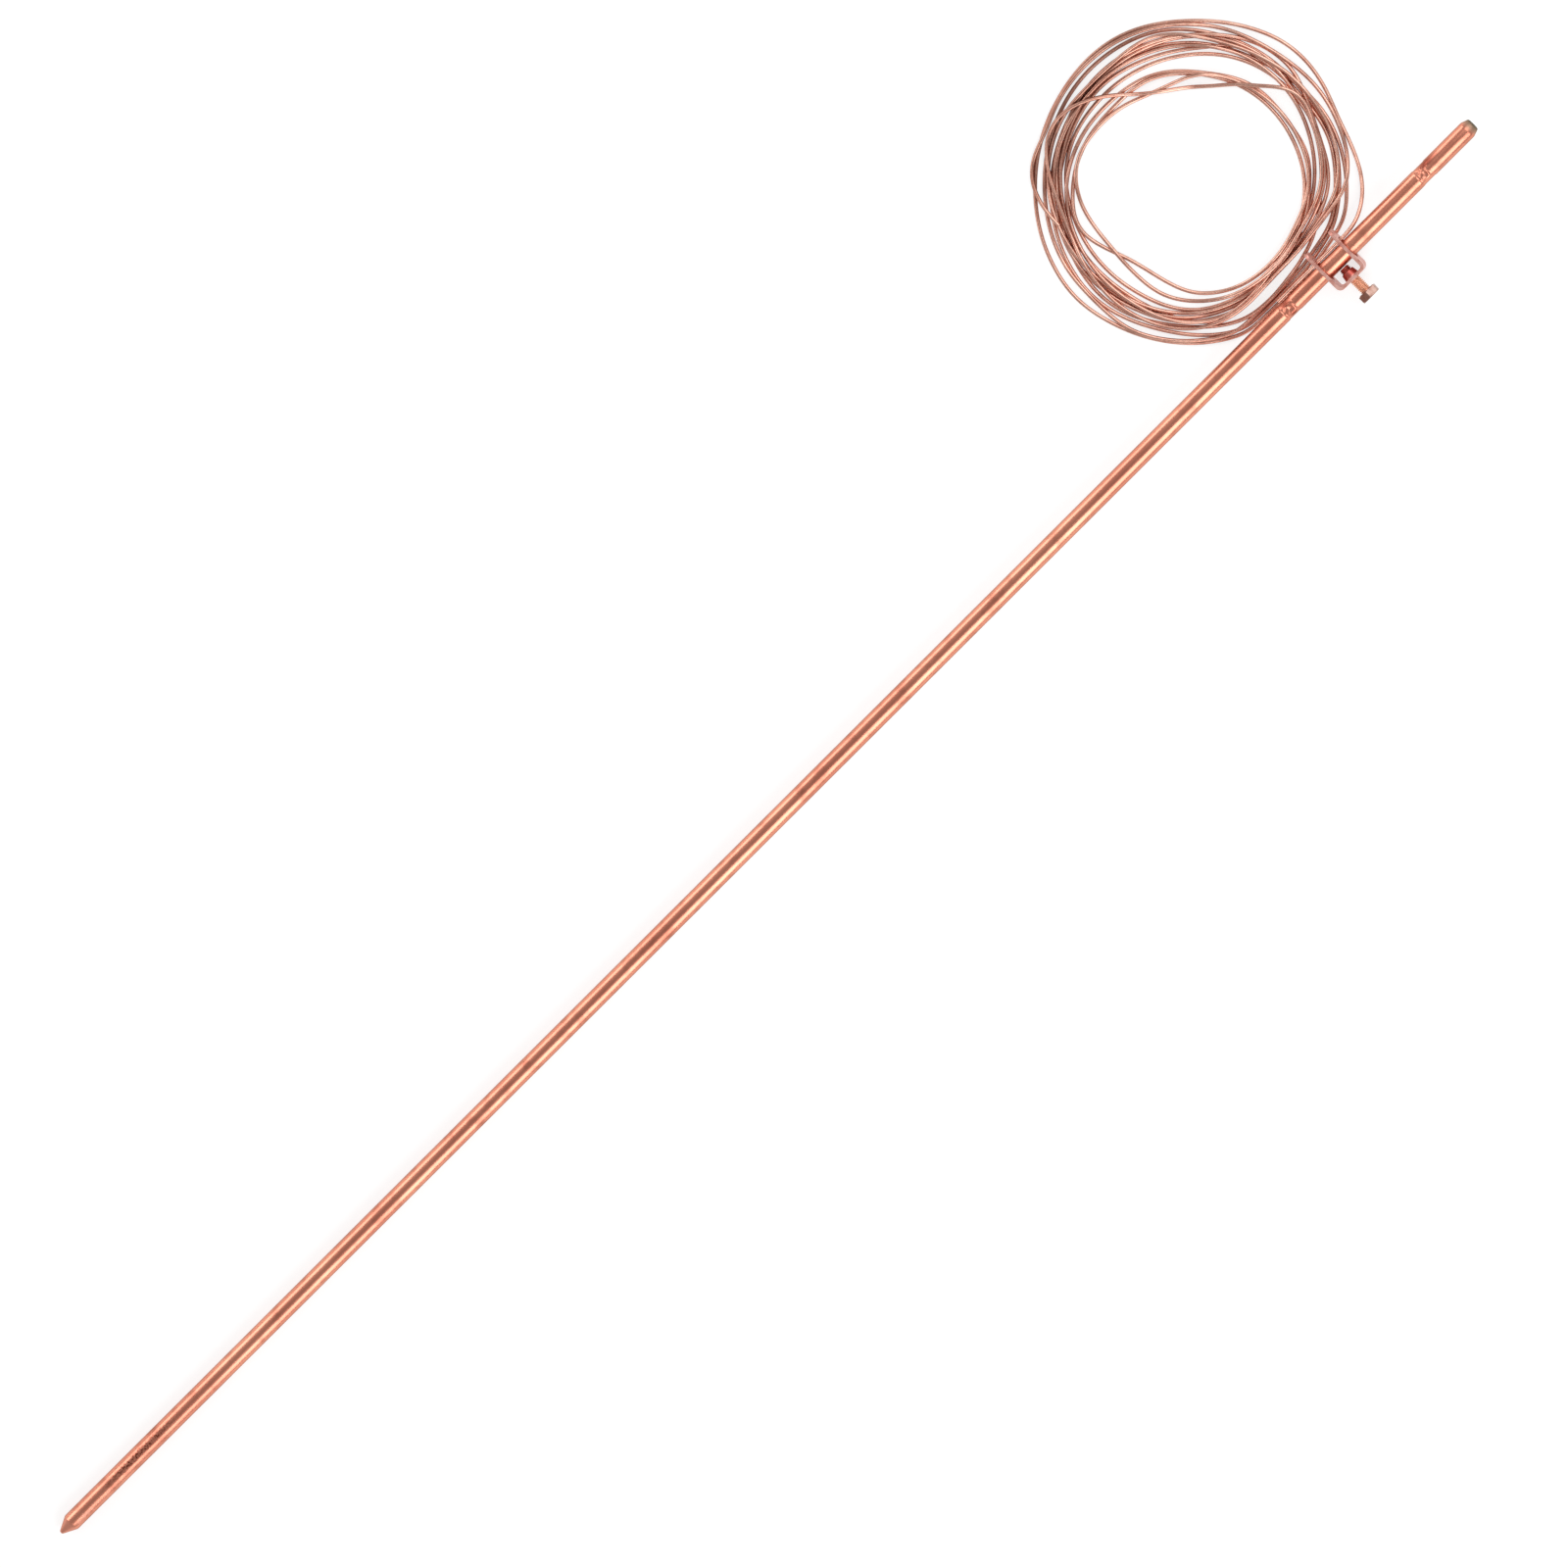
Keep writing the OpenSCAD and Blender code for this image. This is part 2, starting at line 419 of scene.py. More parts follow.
# Copper plate on a bolt: pink on the head, orange where the thread was rolled. The head's side
# towards the rod's point carries painted shade, and the tip inside the collar a painted red
# reflection.
PLATED_BOLT_COPPER = CopperFinish(
    name="plated_bolt_copper",
    bright="#be9f93",
    dull="#b2897b",
    tarnish="#7a4436",
    patch=3.0,
    stain=1.6,
    stain_levels=(0.52, 0.8),
    stain_most=0.6,
    smooth=0.3,
    rough=0.42,
    grain=(0.3, 0.3, 0.3),
    grain_depth=0.015,
    wear_and_painted_light=(
        WearAndPaintedLight("rolled", "#f2c3a8", 0.4),
        # Painted shade on the head's side towards the rod's point.
        WearAndPaintedLight("shaded", "#8a5443", 0.5),
        # Painted red reflection at the tip, inside the collar.
        WearAndPaintedLight("painted_tip_reflection", "#bd665a", 0.45),
    ),
)

# Bare stranded copper: strands pulled through a die, brown tarnish in patches, and painted
# shade all along the coil's far side.
BARE_STRANDED_COPPER = StrandedFinish(
    name="bare_stranded_copper",
    bright="#ecbba8",
    dull="#dca491",
    tarnish="#814d3d",
    patch=12.0,
    stain=14.0,
    stain_levels=(0.5, 0.8),
    stain_most=0.5,
    smooth=0.19,
    rough=0.36,
    grain_depth=0.014,
    edge="#909090",
    # Painted shade along the coil's far side.
    wear_and_painted_light=(WearAndPaintedLight("painted_far_shade", "#85513f", 0.34),),
)


def skin(rings: np.ndarray) -> tuple[np.ndarray, list[list[int]]]:
    """Closed skin over rings of points: a quad between each pair of neighbours, and a fan
    from the middle of the first and of the last ring.

    Args:
        rings: points in rows along the piece and columns round it, anticlockwise as seen
            from the far end.

    Returns:
        Points, and faces that point outwards.
    """
    rows, columns = rings.shape[:2]
    number = np.arange(rows * columns).reshape(rows, columns)
    ahead = np.roll(number, -1, axis=1)
    walls = np.stack([number[:-1], ahead[:-1], ahead[1:], number[1:]], axis=-1).reshape(-1, 4)
    first_pole = np.full(columns, rows * columns)
    first_fan = np.stack([first_pole, ahead[0], number[0]], axis=-1)
    last_fan = np.stack([first_pole + 1, number[-1], ahead[-1]], axis=-1)
    poles = np.stack([rings[0].mean(axis=0), rings[-1].mean(axis=0)])
    points = np.concatenate([rings.reshape(-1, 3), poles])
    return points, walls.tolist() + first_fan.tolist() + last_fan.tolist()


def put_mark(mesh: bpy.types.Mesh, name: str, share: np.ndarray) -> None:
    """Puts a mark from 0 to 1 on each point of a mesh, for its finish to read."""
    layer = mesh.attributes.new(name, "FLOAT", "POINT")
    layer.data.foreach_set("value", np.clip(share, 0, 1).astype(np.float32))


def stand(data: bpy.types.ID) -> bpy.types.Object:
    """Puts a mesh, lamp or camera into the scene.

    Args:
        data: the mesh, lamp or camera.

    Returns:
        An object of the same name.
    """
    thing = bpy.data.objects.new(data.name, data)
    bpy.context.scene.collection.objects.link(thing)
    return thing


def make_piece(
    name: str, points: np.ndarray, faces: list[list[int]], sharp_from: float = 35.0
) -> bpy.types.Object:
    """Puts points and faces into a smooth-shaded mesh object at the origin.

    Args:
        name: name of the piece.
        points: points in metres, in the row frame.
        faces: point numbers of each face.
        sharp_from: angle in degrees past which an edge is shaded sharp.

    Returns:
        The object, linked to the scene.
    """
    mesh = bpy.data.meshes.new(name)
    mesh.from_pydata(points.tolist(), [], faces)
    mesh.shade_smooth()
    mesh.set_sharp_from_angle(angle=math.radians(sharp_from))
    return stand(mesh)


def smooth_run(values: np.ndarray, reach: float) -> np.ndarray:
    """Smooths a run of values with a bell-shaped weight, its ends held.

    Args:
        values: values at even steps.
        reach: standard deviation of the bell, in steps.

    Returns:
        The smoothed values.
    """
    half = int(3 * reach) + 1
    weight = np.exp(-0.5 * (np.arange(-half, half + 1) / reach) ** 2)
    return np.convolve(np.pad(values, half, mode="edge"), weight / weight.sum(), mode="valid")


def hump(offset: np.ndarray) -> np.ndarray:
    """Round hump of height 1 at offset 0 that comes down to 0 at offsets -1 and 1."""
    return np.clip(1 - offset ** 2, 0, 1) ** 2


def rise(depth: np.ndarray, edge: tuple[float, float]) -> np.ndarray:
    """Share that goes from 0, at a border moved out by edge[0], to 1 over a length edge[1]."""
    return np.clip((depth + edge[0]) / edge[1], 0, 1)


@dataclass(frozen=True)
class RodAxis:
    """The rod's own frame, as the row frame sees it.

    Attributes:
        point: the rod's point, on its axis, in metres.
        along: unit vector from the point to the top end.
    """

    point: np.ndarray
    along: np.ndarray

    @classmethod
    def from_record(cls, record: dict) -> RodAxis:
        """Takes the axis from the record's top_end mount and the point from the rod's box.

        Args:
            record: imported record.

        Returns:
            The rod's own frame.
        """
        mount = next(m for m in record["mounts"] if m["name"] == "top_end")
        along = np.array(mount["axis"]) / np.linalg.norm(mount["axis"])
        place = np.array(mount["pos_m"])
        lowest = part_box("rod")[0]
        return cls(point=place - along * (place[0] - lowest[0]) / along[0], along=along)

    def place(self, points: np.ndarray) -> np.ndarray:
        """Takes points from the rod's own frame to the row frame.

        Args:
            points: [along, sideways, up] in millimetres.

        Returns:
            Points in metres, in the row frame.
        """
        return self.point + (points * MM) @ self.directions()

    def measure(self, points: np.ndarray) -> np.ndarray:
        """Takes points in metres, in the row frame, to the rod's own frame."""
        return (points - self.point) @ self.directions().T / MM

    def directions(self) -> np.ndarray:
        """Rows with the directions along, sideways and up of the rod's own frame."""
        sideways = np.array([0.0, 1.0, 0.0])
        return np.stack([self.along, sideways, np.cross(self.along, sideways)])


@dataclass(frozen=True)
class Turn:
    """One turn of the coil, as the photograph shows it.

    Attributes:
        lane: least distances from the rod's axis as the turn comes up to the lower stop mark
            and as it passes the clamp, 0 for any.
        bends: places that it runs through: angle in the photograph, anticlockwise from the
            right, in degrees, and distance from the middle of the coil.
    """

    lane: tuple[float, float]
    bends: Pairs


# Turns of the coil as they are read off the photograph, the lowest first.
COIL_TURNS = (
    Turn((5.3, 5.3), (
        (2, 83.3), (12, 80.3), (25, 78), (36, 79.9), (48, 82), (57, 82.7), (72, 81.7), (90, 80.8),
        (119, 82.4), (150, 80.4), (180, 80.3), (208, 82.2), (223, 83), (240, 81.5), (270, 80),
    )),
    Turn((7.5, 7.5), (
        (0, 75.3), (29, 73), (45, 70.3), (65, 68.5), (90, 69.8), (120, 71.2), (150, 71),
        (180, 72.1), (207, 74.8), (226, 76.6), (258, 75.3), (280, 76.6),
    )),
    Turn((9.4, 9.7), (
        (0, 71.7), (18, 72.2), (38, 70.3), (60, 72), (82, 74.8), (104, 78), (126, 77.8),
        (160, 76.1), (180, 75.6), (212, 77.2), (229, 77.3), (245, 80), (262, 79.3), (280, 77.8),
    )),
    Turn((9.2, 11.9), (
        (0, 69.8), (20, 70.1), (40, 68.1), (62, 69.7), (74, 71.5), (84, 68.3), (105, 66.3),
        (135, 67.5), (165, 67.1), (190, 69.3), (210, 71.5), (235, 73.9), (262, 71.9), (285, 72.3),
    )),
    Turn((15.5, 15.5), (
        (0, 62.7), (25, 65.1), (45, 67.6), (62, 71.7), (85, 73.2), (115, 71.7), (145, 69.3),
        (175, 67.7), (205, 66.6), (240, 65.3), (258, 67.3), (274, 70), (293, 65.5), (315, 61),
        (338, 62.5),
    )),
    Turn((15.5, 15.5), (
        (0, 66.3), (25, 66.3), (36, 69), (47, 73.7), (60, 75.8), (90, 74.1), (130, 72.7),
        (165, 70.1), (200, 68.9), (235, 68.6), (270, 67.1), (292, 63.5), (315, 58.7), (338, 60),
    )),
    Turn((15.5, 15.5), (
        (0, 64.1), (40, 66.1), (75, 65.3), (100, 63.6), (135, 63.4), (170, 65.3), (205, 62.7),
        (240, 61.9), (270, 63.5), (292, 60.5), (315, 56.4), (338, 57.5),
    )),
    Turn((15.5, 15.5), (
        (0, 59.2), (21, 61.4), (43, 65.1), (68, 67.8), (100, 69.1), (140, 69.3), (175, 70.8),
        (215, 71.4), (245, 69.7), (270, 69.1), (292, 66), (315, 61), (338, 64.5),
    )),
    Turn((15.5, 15.5), (
        (0, 70.9), (40, 72), (80, 71.5), (108, 76), (125, 72.5), (137, 72), (152, 73.9),
        (180, 73.7), (205, 70.5), (235, 67.1), (270, 64.9), (292, 62), (315, 58.9), (338, 57.5),
    )),
    Turn((15.5, 15.5), (
        (0, 56.8), (11, 57.5), (35, 55.1), (60, 56.2), (85, 55), (110, 57.8), (140, 59.2),
        (158, 61.6), (180, 64.4), (210, 65.9), (240, 67.1), (268, 69.5), (284, 67.5), (298, 62.5),
        (315, 56.8), (338, 55.6),
    )),
    Turn((0, 0), (
        (0, 54.4), (25, 53), (60, 53.1), (90, 54.5), (112, 56.5), (140, 55.8), (160, 58.5),
        (180, 61.2), (205, 61.2), (215, 56), (226, 51.2), (241, 49.7), (255, 51.7), (267, 54.5),
        (285, 55.8), (315, 54.8), (338, 54.3),
    )),
    Turn((0, 0), (
        (0, 56.6), (30, 55.8), (60, 54.8), (90, 54.1), (104, 50.7), (118, 49.9), (133, 52.6),
        (149, 55.8), (172, 60.2), (188, 58.6), (205, 54.7), (219, 52.7), (234, 54.1), (255, 58.3),
        (280, 59), (315, 57.5), (338, 57.6),
    )),
    Turn((15.5, 15.5), (
        (0, 62.7), (25, 65.6), (43, 67.7), (50, 63.1), (57, 57.8), (66, 54.2), (77, 49.8),
        (95, 47.8), (112, 49), (124, 53.2), (134, 60.8), (143, 68.5), (152, 75), (163, 77.5),
        (172, 74.8), (187, 69.1), (201, 67.3), (220, 69.1), (245, 72.6), (270, 72.5), (293, 66.5),
        (315, 60.5), (338, 66),
    )),
    Turn((0, 0), (
        (0, 75.5), (25, 77.1), (64, 76.6), (80, 78.2), (95, 79.4), (115, 80.8), (150, 79.8),
        (163, 79.3), (172, 82.2), (180, 81.7), (187, 78), (192, 74.8), (197, 70.9), (201, 67.5),
    )),
)


@dataclass
class EarthLead:
    """Bare stranded lead: a stretch held in the clamp, then a loose flat coil.

    Attributes:
        diameter: diameter of the lead.
        tail: route from the cut end to the coil, in the rod's own frame.
        leaves_at: number of the point of that route at which the lead leaves the clamp.
        turns: turns in the order in which they lie, the lowest first.
        coil_side: distance from the rod's axis to the middle of the turns.
        photo_turn: angle from the row's +X to the photograph's right, in degrees.
        shortening: share of a length along the rod that the leaning view leaves.
        start_angle: angle in the photograph at which the coil starts.
        end_angle: angle in the photograph at which it ends, on the last turn.
        passing: angles in the photograph of the lower stop mark and of the clamp.
        step: spacing of the points that the turns are settled at, and of the mesh's rings.
        columns: points round the lead.
        slack: gap between the lead and what it lies on.
        lay_length: length in which a strand goes once round.
        far_shade_at: angle in the photograph of the side that carries painted shade.
        far_shade_from: distance from the middle of the coil, that way, past which it does.
        far_shade_over: length over which the painted shade deepens.
        far_shade_most: largest share of painted shade.
        climb: steepest rise of a turn over the ones below.
        fan: how fast the turns leave the rod again once they are past the clamp's first leg.
        fan_from: where they start to, measured along the rod from the middle of the coil.
        lane_softness: softness of the corner where a turn meets its lane.
        bend_ease: angle over which the bends are eased, in degrees.
        plan_ease: length over which the plan is eased.
        height_ease: length over which the heights are eased.
        tail_fall: steepness at which the tail comes down to the coil.
    """

    diameter: float = 2.0
    tail: tuple[tuple[float, float, float], ...] = (
        (883, 5.9, 0.9), (888, 5.9, 0.9), (894, 5.9, 0.9), (900, 5.9, 0.9), (906, 5.9, 0.9),
        (912, 5.9, 0.9), (918, 5.9, 0.9), (924, 5.9, 0.9), (930, 5.9, 0.8), (936, 6.2, 0),
        (941, 7.4, -1.4), (946, 9.9, -3.3), (950, 12.8, -4.9), (954, 16.6, -6.2), (957, 20.2, -7),
    )
    leaves_at: int = 4
    turns: tuple[Turn, ...] = COIL_TURNS
    coil_side: float = 77.0
    photo_turn: float = 45.0
    shortening: float = 0.9947
    start_angle: float = 2.0
    end_angle: float = 199.5
    passing: tuple[float, float] = (305.0, 324.0)
    step: float = 1.5
    columns: int = 18
    slack: float = 0.01
    lay_length: float = 15.0
    far_shade_at: float = 150.0
    far_shade_from: float = 55.0
    far_shade_over: float = 20.0
    far_shade_most: float = 0.5
    climb: float = 0.16
    fan: float = 0.18
    fan_from: float = 8.0
    lane_softness: float = 1.2
    bend_ease: float = 3.0
    plan_ease: float = 3.0
    height_ease: float = 4.0
    tail_fall: float = 0.09

    def coil_middle(self) -> np.ndarray:
        """Middle of the coil, from the CAD coil's box.

        Returns:
            Point [x, y] of the row frame, in millimetres.
        """
        low, high = (np.array(corner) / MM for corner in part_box("lead_coil"))
        outer_radius = (high[0] - low[0]) / 2
        return np.array([(low[0] + high[0]) / 2, high[1] - outer_radius])

    def rounds(self) -> np.ndarray:
        """Plan of the coil's turns about its middle.

        The radius is a cubic between each pair of bends, with the slope at a bend taken from
        its neighbours, and is lightly smoothed. Where a turn would come nearer to the rod
        than its lane, it is pressed back to the lane, with soft corners: lane plus log of
        one plus exp of the overlap.

        Returns:
            Points [x, y] about the middle of the CAD coil.
        """
        bends = np.concatenate([np.array(t.bends) + (360 * k, 0) for k, t in enumerate(self.turns)])
        knot, reach = bends.T
        fine = 0.5
        last = 360 * (len(self.turns) - 1) + self.end_angle
        degrees = np.arange(self.start_angle, last, fine)
        slope = np.gradient(reach, knot)
        left = np.clip(np.searchsorted(knot, degrees, side="right") - 1, 0, len(knot) - 2)
        width = knot[left + 1] - knot[left]
        part = (degrees - knot[left]) / width
        rest = 1 - part
        radius = reach[left] * rest ** 2 * (1 + 2 * part)
        radius += reach[left + 1] * part ** 2 * (1 + 2 * rest)
        radius += width * part * rest * (slope[left] * rest - slope[left + 1] * part)
        radius = smooth_run(radius, self.bend_ease / fine)
        in_row = np.radians(degrees - self.photo_turn)
        x = radius * np.cos(in_row) / self.shortening
        y = radius * np.sin(in_row)
        passes = np.add.outer(360 * np.arange(len(self.turns)), self.passing).ravel()
        lanes = np.ravel([turn.lane for turn in self.turns])
        nearest = np.interp(degrees, passes, lanes) - self.coil_side
        nearest += self.fan * np.maximum(x - self.fan_from, 0)
        soft = self.lane_softness
        y = nearest + soft * np.logaddexp(0, (y - nearest) / soft)
        return np.stack([x, y], axis=-1)

    def settle(self, plan: np.ndarray, floor: np.ndarray) -> np.ndarray:
        """Heights of the lead's middle, each point resting on the floor or on earlier turns.

        A point lies at least as high as an earlier one nearer than a diameter in plan, plus
        the rise that keeps their middles a diameter apart. Between such points the lead
        comes down no faster than climb, and its corners are smoothed.

        Args:
            plan: points [x, y] at even steps.
            floor: lowest height of each point.

        Returns:
            Height of each point.
        """
        count, batch, most_passes, settled_within = len(plan), 500, 60, 0.01
        skipped = int(4 * self.diameter / self.step)
        later, earlier, rise = [], [], []
        for start in range(0, count, batch):
            here = np.arange(start, min(start + batch, count))
            apart = plan[here][:, None] - plan[None, :here[-1] + 1]
            square = (apart ** 2).sum(axis=-1)
            near = square < self.diameter ** 2
            near &= np.arange(here[-1] + 1)[None] < here[:, None] - skipped
            row, column = np.nonzero(near)
            later.append(here[row])
            earlier.append(column)
            rise.append(np.sqrt(self.diameter ** 2 - square[row, column]))
        later, earlier, rise = (np.concatenate(part) for part in (later, earlier, rise))
        slope = self.climb * self.step * np.arange(count)
        height = floor.copy()
        for _ in range(most_passes):
            needed = floor.copy()
            np.maximum.at(needed, later, height[earlier] + rise)
            up = np.maximum.accumulate(needed + slope) - slope
            down = np.maximum.accumulate((needed - slope)[::-1])[::-1] + slope
            settled = smooth_run(np.maximum(up, down), self.height_ease / self.step)
            if np.abs(settled - height).max() < settled_within:
                break
            height = settled
        return height

    def centreline(self, axis: RodAxis) -> np.ndarray:
        """Middle of the lead from its cut end in the clamp to its free end.

        Args:
            axis: the rod's own frame.

        Returns:
            Points in metres, in the row frame, at even steps.
        """
        tail = axis.place(np.array(self.tail)) / MM
        coil = self.rounds() + self.coil_middle()
        plan = np.concatenate([tail[:-1, :2], coil])
        walked = np.concatenate([[0], np.cumsum(np.linalg.norm(np.diff(plan, axis=0), axis=-1))])
        marks = np.arange(0, walked[-1], self.step)
        even = np.stack([np.interp(marks, walked, plan[:, k]) for k in range(2)], axis=-1)
        ease = self.plan_ease / self.step
        even = np.stack([smooth_run(even[:, k], ease) for k in range(2)], axis=-1)
        tail_walk = walked[:len(tail)]
        held = marks < tail_walk[-1]
        floor = np.full(len(marks), self.diameter / 2)
        falling = np.interp(marks, tail_walk, tail[:, 2])
        falling -= self.tail_fall * np.maximum(marks - tail_walk[-1], 0)
        floor = np.maximum(floor, smooth_run(falling, ease))
        height = floor.copy()
        height[~held] = self.settle(even[~held], floor[~held])
        height = np.where(held, floor, height)
        return np.column_stack([even, height]) * MM

    def tube(self, path: np.ndarray) -> np.ndarray:
        """Rings of the lead: circles across its path, each started level with the floor.

        Args:
            path: middle of the lead, in metres.

        Returns:
            Rings of points in metres.
        """
        ahead = np.gradient(path, axis=0)
        ahead /= np.linalg.norm(ahead, axis=-1, keepdims=True)
        side = np.cross([0.0, 0.0, 1.0], ahead)
        side /= np.linalg.norm(side, axis=-1, keepdims=True)
        up = np.cross(ahead, side)
        angle = np.linspace(0, 2 * math.pi, self.columns, endpoint=False)[:, None]
        outward = np.cos(angle) * side[:, None] + np.sin(angle) * up[:, None]
        return path[:, None] + (self.diameter / 2 - self.slack) * MM * outward

    def map_lay(self, mesh: bpy.types.Mesh, rows: int) -> None:
        """Maps the skin for the strands: turns round the lead, and lay lengths along it.

        Args:
            mesh: mesh of the lead, as skin makes it.
            rows: number of its rings.
        """
        row, column = (part[..., None] for part in np.mgrid[:rows - 1, :self.columns])
        turned = (column + (0, 1, 1, 0)) / self.columns
        walked = (row + (0, 0, 1, 1)) * self.step / self.lay_length
        walls = np.stack([turned, walked], axis=-1).reshape(-1, 2)
        fans = np.zeros((6 * self.columns, 2))
        layer = mesh.uv_layers.new(name="lay")
        layer.data.foreach_set("uv", np.concatenate([walls, fans]).ravel().astype(np.float32))

    def dress(self, axis: RodAxis) -> bpy.types.Object:
        """Args:
            axis: the rod's own frame.

        Returns:
            The lead.
        """
        path = self.centreline(axis)
        points, faces = skin(self.tube(path))
        lead = make_piece("earth_lead", points, faces, sharp_from=80)
        self.map_lay(lead.data, len(path))
        in_row = math.radians(self.far_shade_at - self.photo_turn)
        far = (points[:, :2] / MM - self.coil_middle()) @ (math.cos(in_row), math.sin(in_row))
        # Painted shade, deeper towards the coil's far side.
        painted_far_shade = np.clip((far - self.far_shade_from) / self.far_shade_over, 0, self.far_shade_most)
        put_mark(lead.data, "painted_far_shade", painted_far_shade)
        lead.data.materials.append(BARE_STRANDED_COPPER.build())
        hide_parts("lead_tail", "lead_coil")
        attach(lead, Body.CLAMP.value)
        leaves_clamp = axis.place(np.array(self.tail[self.leaves_at]))
        return lead


@dataclass(frozen=True)
class Punch:
    """A punched dimple with a raised rim, which stops the clamp.

    Attributes:
        along: distance from the rod's point to its middle.
        sideways: distance from the rod's crown to its middle, towards the coil.
        radius: radius of the dimple.
        depth: depth of the dimple.
        rim: height of the rim at its two ends along the rod.
        rim_at: distance of the rim from the middle, as a share of the radius.
        rim_half: half-width of the rim, as a share of the radius.
        uneven: how uneven the outline is, as a share of the radius.
    """

    along: float
    sideways: float
    radius: float
    depth: float
    rim: float
    rim_at: float = 1.2
    rim_half: float = 0.42
    uneven: float = 0.08

    def relief(self, along: np.ndarray, sideways: np.ndarray) -> tuple[np.ndarray, np.ndarray]:
        """Height of the dimple over the round of the rod.

        By distance from the middle it is a sunk hump with a raised hump round it. The rim is
        a third as high at the sides as at the ends, and the outline is a little uneven.

        Args:
            along: distance from the rod's point.
            sideways: distance from the rod's crown.

        Returns:
            Height, negative where it is sunk, and the share of the dimple from 0 to 1.
        """
        off_along = along - self.along
        off_side = sideways - self.sideways
        bearing = np.arctan2(off_side, off_along)
        away = np.hypot(off_along, off_side)
        away *= 1 + self.uneven * np.sin(3 * bearing + self.along)
        dish = hump(away / self.radius)
        ends = (1 + 2 * np.cos(bearing) ** 2) / 3
        ring = hump((away - self.rim_at * self.radius) / (self.rim_half * self.radius)) * ends
        return ring * self.rim - dish * self.depth, dish


@dataclass
class Rod:
    """Copper-coated steel rod with a blunt point, a chamfered top end and two stop marks.

    Attributes:
        radius: radius of the rod.
        length: length from the point to the top end.
        point_length: length of the driving point.
        nose_radius: radius of the blunted nose.
        nose: its outline, with radii as shares of nose_radius.
        shoulder: outline where the point ends, from there and from the rod's radius.
        chamfer_length: length of the chamfer at the top end.
        chamfer_depth: depth of the chamfer, taken on the radius.
        chamfer_start: outline where the chamfer starts, from there and from the rod's radius.
        cut_end: outline at the top end, from there and from the chamfered radius.
        stops: distance from the point to each stop mark.
        punches: punched dimples of the two stop marks.
        rubs: rubbed patches on the upper side: middle along and sideways, then half-sizes.
        scuffs: dark spotted patches there, given in the same way.
        shade_patches: even patches of painted shade there, by the stop marks, given in the same
            way.
        neck_half: half-length of the shallow neck round a stop mark.
        neck_depth: depth of that neck.
        neck_edge: how far its border is moved out, and the length over which it sets in.
        dull_edge: the same of the dull metal at the point.
        ground_edge: the same of the ground chamfer.
        sheared_edge: the same of the sheared steel at the top end.
        soil_and_shade: strength of the tarnish in the dimples and scuffs, and of the painted shade.
        columns: points round the rod.
    """

    radius: float = 4.7625
    length: float = 1016.0
    point_length: float = 7.8
    nose_radius: float = 1.0
    nose: Pairs = ((0.0, 0.5), (0.12, 0.85), (0.4, 1.12))
    shoulder: Pairs = ((-0.5, -0.22), (0.0, -0.05), (0.6, 0.0))
    chamfer_length: float = 3.9
    chamfer_depth: float = 1.5
    chamfer_start: Pairs = ((-0.5, 0.0), (0.2, -0.07))
    cut_end: Pairs = ((-0.5, 0.3), (-0.12, 0.02), (0.0, -0.25))
    stops: tuple[float, float] = (886.0, 981.5)
    punches: tuple[Punch, ...] = (
        Punch(886.0, -0.9, 2.3, 0.75, 0.55),
        Punch(981.3, -0.8, 1.9, 0.65, 0.5),
        Punch(979.2, 2.2, 1.2, 0.4, 0.25),
        Punch(983.2, 2.4, 0.9, 0.35, 0.25),
    )
    rubs: tuple[Patch, ...] = ((20.0, -2.4, 22.0, 2.2),)
    scuffs: tuple[Patch, ...] = ((60.0, 0.6, 34.0, 2.8),)
    # Patches of painted shade by the stop marks.
    shade_patches: tuple[Patch, ...] = (
        (986.5, 3.0, 8.0, 2.2),
        (886.0, 2.6, 4.5, 1.8),
        (886.5, -3.4, 3.0, 1.2),
    )
    neck_half: float = 4.0
    neck_depth: float = 0.2
    neck_edge: tuple[float, float] = (0.0, 0.4)
    dull_edge: tuple[float, float] = (0.3, 0.6)
    ground_edge: tuple[float, float] = (-0.3, 0.4)
    sheared_edge: tuple[float, float] = (0.9, 0.5)
    soil_and_shade: tuple[float, float, float] = (0.9, 1.3, 1.2)
    columns: int = 144

    def profile(self) -> tuple[np.ndarray, np.ndarray]:
        """Rings of the rod from nose to top end: its outline, with close rings at the stops.

        Returns:
            Distance from the point and radius of each ring.
        """
        end = self.length
        end_radius = self.radius - self.chamfer_depth
        outline = np.concatenate([
            np.array(self.nose) * (1, self.nose_radius),
            np.array(self.shoulder) + (self.point_length, self.radius),
            np.array(self.chamfer_start) + (end - self.chamfer_length, self.radius),
            np.array(self.cut_end) + (end, end_radius),
        ])
        reach, fine, coarse = 6.0, 0.2, 6.0
        near_stops = [np.arange(x - reach, x + reach + fine / 2, fine) for x in self.stops]
        long_run = np.arange(2 * coarse, end - 2 * coarse, coarse)
        on_point = np.linspace(1, 7, 8)
        along = np.unique(np.concatenate([outline[:, 0], on_point, long_run, *near_stops]))
        return along, np.interp(along, outline[:, 0], outline[:, 1])

    def stop_relief(self, along: np.ndarray, sideways: np.ndarray, crown: np.ndarray) -> np.ndarray:
        """Height of the stop marks over the round of the rod.

        It is the sum of the punched dimples on the crown, less a shallow neck that runs all
        round the rod at each mark.

        Args:
            along: distance from the point.
            sideways: distance from the rod's axis.
            crown: 1 on the rod's upper half and 0 below.

        Returns:
            Height, negative where the mark is sunk.
        """
        relief = sum(punch.relief(along, sideways)[0] for punch in self.punches) * crown
        for stop in self.stops:
            inside = self.neck_half - np.abs(along - stop)
            relief -= rise(inside, self.neck_edge) * self.neck_depth
        return relief

